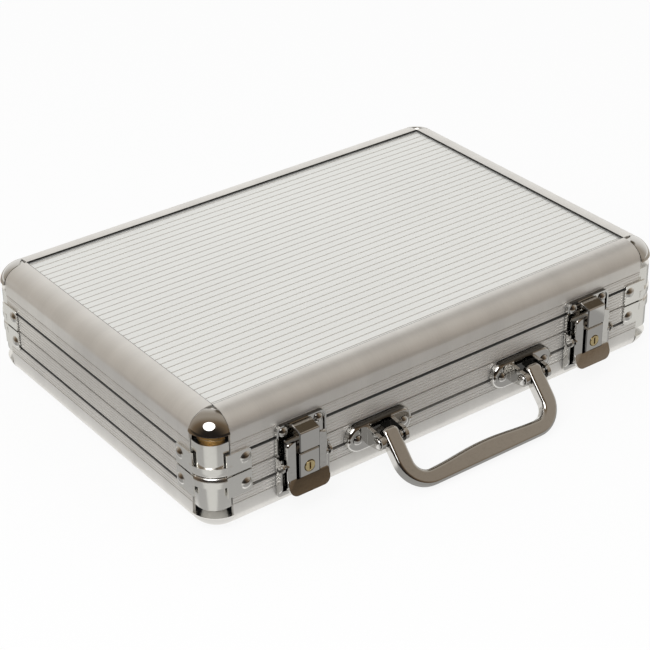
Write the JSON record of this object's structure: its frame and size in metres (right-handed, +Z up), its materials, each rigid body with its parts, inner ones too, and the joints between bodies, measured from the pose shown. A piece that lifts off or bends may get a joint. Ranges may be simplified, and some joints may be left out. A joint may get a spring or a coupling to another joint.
{
  "type": "poker chip case",
  "caption": "Rectangular aluminium-framed carrying case with ball corners, ribbed panels, key latches, bail handle and a foam chip tray under a hinged lid.",
  "frame": {"origin": "centre of the whole part's footprint, the handle at rest included, at the level of the surface it stands on", "axes": "+X along the long side, seen from the front to the right; -Y is the front with the latches and the handle; +Z is up through the lid"},
  "size_m": [0.305, 0.2478, 0.066],
  "materials": {
    "anodised_aluminium": "satin anodised, finely brushed",
    "ribbed_aluminium_sheet": "matt off-white silver with fine grooves",
    "chrome_plate": "bright plated steel",
    "brass": "polished",
    "hardboard": "dark, matt",
    "black_lining": "matt felt",
    "black_foam": "matt closed-cell foam"
  },
  "bodies": {
    "base": {"base_panel": "ribbed_aluminium_sheet", "base_board": "hardboard", "base_rail_front": "anodised_aluminium", "base_rail_back": "anodised_aluminium", "base_rail_left": "anodised_aluminium", "base_rail_right": "anodised_aluminium", "base_corner_front_left": "chrome_plate", "base_corner_front_right": "chrome_plate", "base_corner_back_left": "chrome_plate", "base_corner_back_right": "chrome_plate", "latch_base_left": "chrome_plate", "latch_base_right": "chrome_plate", "lock_box_left": "chrome_plate", "lock_box_right": "chrome_plate", "handle_bracket_left": "chrome_plate", "handle_bracket_right": "chrome_plate", "handle_pin_left": "chrome_plate", "handle_pin_right": "chrome_plate", "bracket_rivet_left_inner": "chrome_plate", "bracket_rivet_left_outer": "chrome_plate", "bracket_rivet_right_inner": "chrome_plate", "bracket_rivet_right_outer": "chrome_plate", "hinge_base_leaf_left": "chrome_plate", "hinge_base_leaf_right": "chrome_plate", "hinge_pin_left": "chrome_plate", "hinge_pin_right": "chrome_plate", "chip_tray": "black_foam"},
    "lid": {"lid_panel": "ribbed_aluminium_sheet", "lid_board": "hardboard", "lid_rail_front": "anodised_aluminium", "lid_rail_back": "anodised_aluminium", "lid_rail_left": "anodised_aluminium", "lid_rail_right": "anodised_aluminium", "lid_corner_front_left": "chrome_plate", "lid_corner_front_right": "chrome_plate", "lid_corner_back_left": "chrome_plate", "lid_corner_back_right": "chrome_plate", "latch_catch_left": "chrome_plate", "latch_catch_right": "chrome_plate", "catch_rivet_left_inner": "chrome_plate", "catch_rivet_left_outer": "chrome_plate", "catch_rivet_right_inner": "chrome_plate", "catch_rivet_right_outer": "chrome_plate", "hinge_lid_leaf_left": "chrome_plate", "hinge_lid_leaf_right": "chrome_plate", "lid_liner": "black_lining", "lid_pad": "black_foam"},
    "handle": {"handle": "chrome_plate"},
    "latch_rocker_left": {"latch_lever_left": "chrome_plate"},
    "latch_rocker_right": {"latch_lever_right": "chrome_plate"},
    "key_turn_left": {"key_plug_left": "brass"},
    "key_turn_right": {"key_plug_right": "brass"}
  },
  "joints": [
    {"name": "lid_hinge", "type": "hinge", "parent": "base", "child": "lid", "pos_m": [0, 0.12126, 0.033], "axis": [-1, 0, 0], "range_deg": [0, 100]},
    {"name": "handle_swing", "type": "hinge", "parent": "base", "child": "handle", "pos_m": [0, -0.10154, 0.0245], "axis": [-1, 0, 0], "range_deg": [-45, 130]},
    {"name": "latch_left_rock", "type": "hinge", "parent": "base", "child": "latch_rocker_left", "pos_m": [-0.0955, -0.09354, 0.028], "axis": [-1, 0, 0], "range_deg": [0, 16]},
    {"name": "latch_right_rock", "type": "hinge", "parent": "base", "child": "latch_rocker_right", "pos_m": [0.0955, -0.09354, 0.028], "axis": [-1, 0, 0], "range_deg": [0, 16]},
    {"name": "key_left_turn", "type": "hinge", "parent": "base", "child": "key_turn_left", "pos_m": [-0.0955, -0.08894, 0.0258], "axis": [0, -1, 0], "range_deg": [0, 90]},
    {"name": "key_right_turn", "type": "hinge", "parent": "base", "child": "key_turn_right", "pos_m": [0.0955, -0.08894, 0.0258], "axis": [0, -1, 0], "range_deg": [0, 90]}
  ]
}
